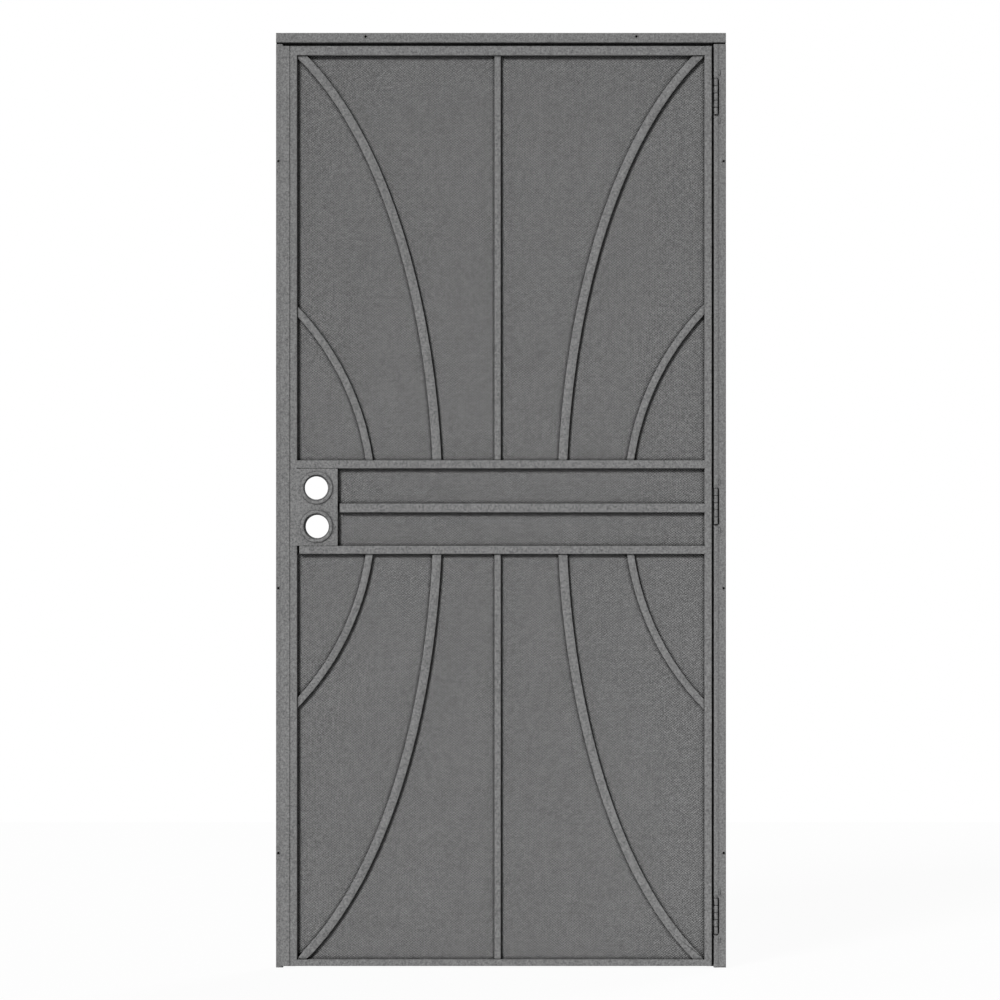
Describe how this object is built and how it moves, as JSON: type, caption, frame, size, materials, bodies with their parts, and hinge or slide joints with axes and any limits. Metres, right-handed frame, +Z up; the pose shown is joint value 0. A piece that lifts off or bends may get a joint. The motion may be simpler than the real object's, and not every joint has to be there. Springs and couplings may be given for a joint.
{
  "type": "steel security screen door",
  "caption": "Grey steel security screen door in its wall frame, with curved bars over expanded metal, a lock box with bores and barrel hinges.",
  "frame": {"origin": "on the wall face of the hinge jamb, at its foot, straight behind the hinge axis", "axes": "+X to the right seen from outside, +Y into the wall, +Z up"},
  "size_m": [0.9906, 0.0503, 2.0574],
  "materials": {
    "grey_powder_coat": "fine textured grey powder coat",
    "expanded_metal": "powder coated expanded metal"
  },
  "bodies": {
    "frame": {"head_jamb": "grey_powder_coat", "hinge_jamb": "grey_powder_coat", "lower_hinge_frame_leaf": "grey_powder_coat", "middle_hinge_frame_leaf": "grey_powder_coat", "strike_jamb": "grey_powder_coat", "strike_keeper": "grey_powder_coat", "upper_hinge_frame_leaf": "grey_powder_coat"},
    "leaf": {"bottom_rail": "grey_powder_coat", "hinge_stile": "grey_powder_coat", "latch_lip": "grey_powder_coat", "lock_box": "grey_powder_coat", "lock_stile": "grey_powder_coat", "lower_centre_bar": "grey_powder_coat", "lower_collar": "grey_powder_coat", "lower_hinge_door_leaf": "grey_powder_coat", "lower_left_large_bar": "grey_powder_coat", "lower_left_small_bar": "grey_powder_coat", "lower_mid_rail": "grey_powder_coat", "lower_right_large_bar": "grey_powder_coat", "lower_right_small_bar": "grey_powder_coat", "lower_screen": "expanded_metal", "middle_bar": "grey_powder_coat", "middle_hinge_door_leaf": "grey_powder_coat", "middle_screen": "expanded_metal", "top_rail": "grey_powder_coat", "upper_centre_bar": "grey_powder_coat", "upper_collar": "grey_powder_coat", "upper_hinge_door_leaf": "grey_powder_coat", "upper_left_large_bar": "grey_powder_coat", "upper_left_small_bar": "grey_powder_coat", "upper_mid_rail": "grey_powder_coat", "upper_right_large_bar": "grey_powder_coat", "upper_right_small_bar": "grey_powder_coat", "upper_screen": "expanded_metal"}
  },
  "joints": [
    {"name": "leaf_swing", "type": "hinge", "parent": "frame", "child": "leaf", "pos_m": [0, -0.03925, 0], "axis": [0, 0, 1], "range_deg": [0, 115]}
  ]
}
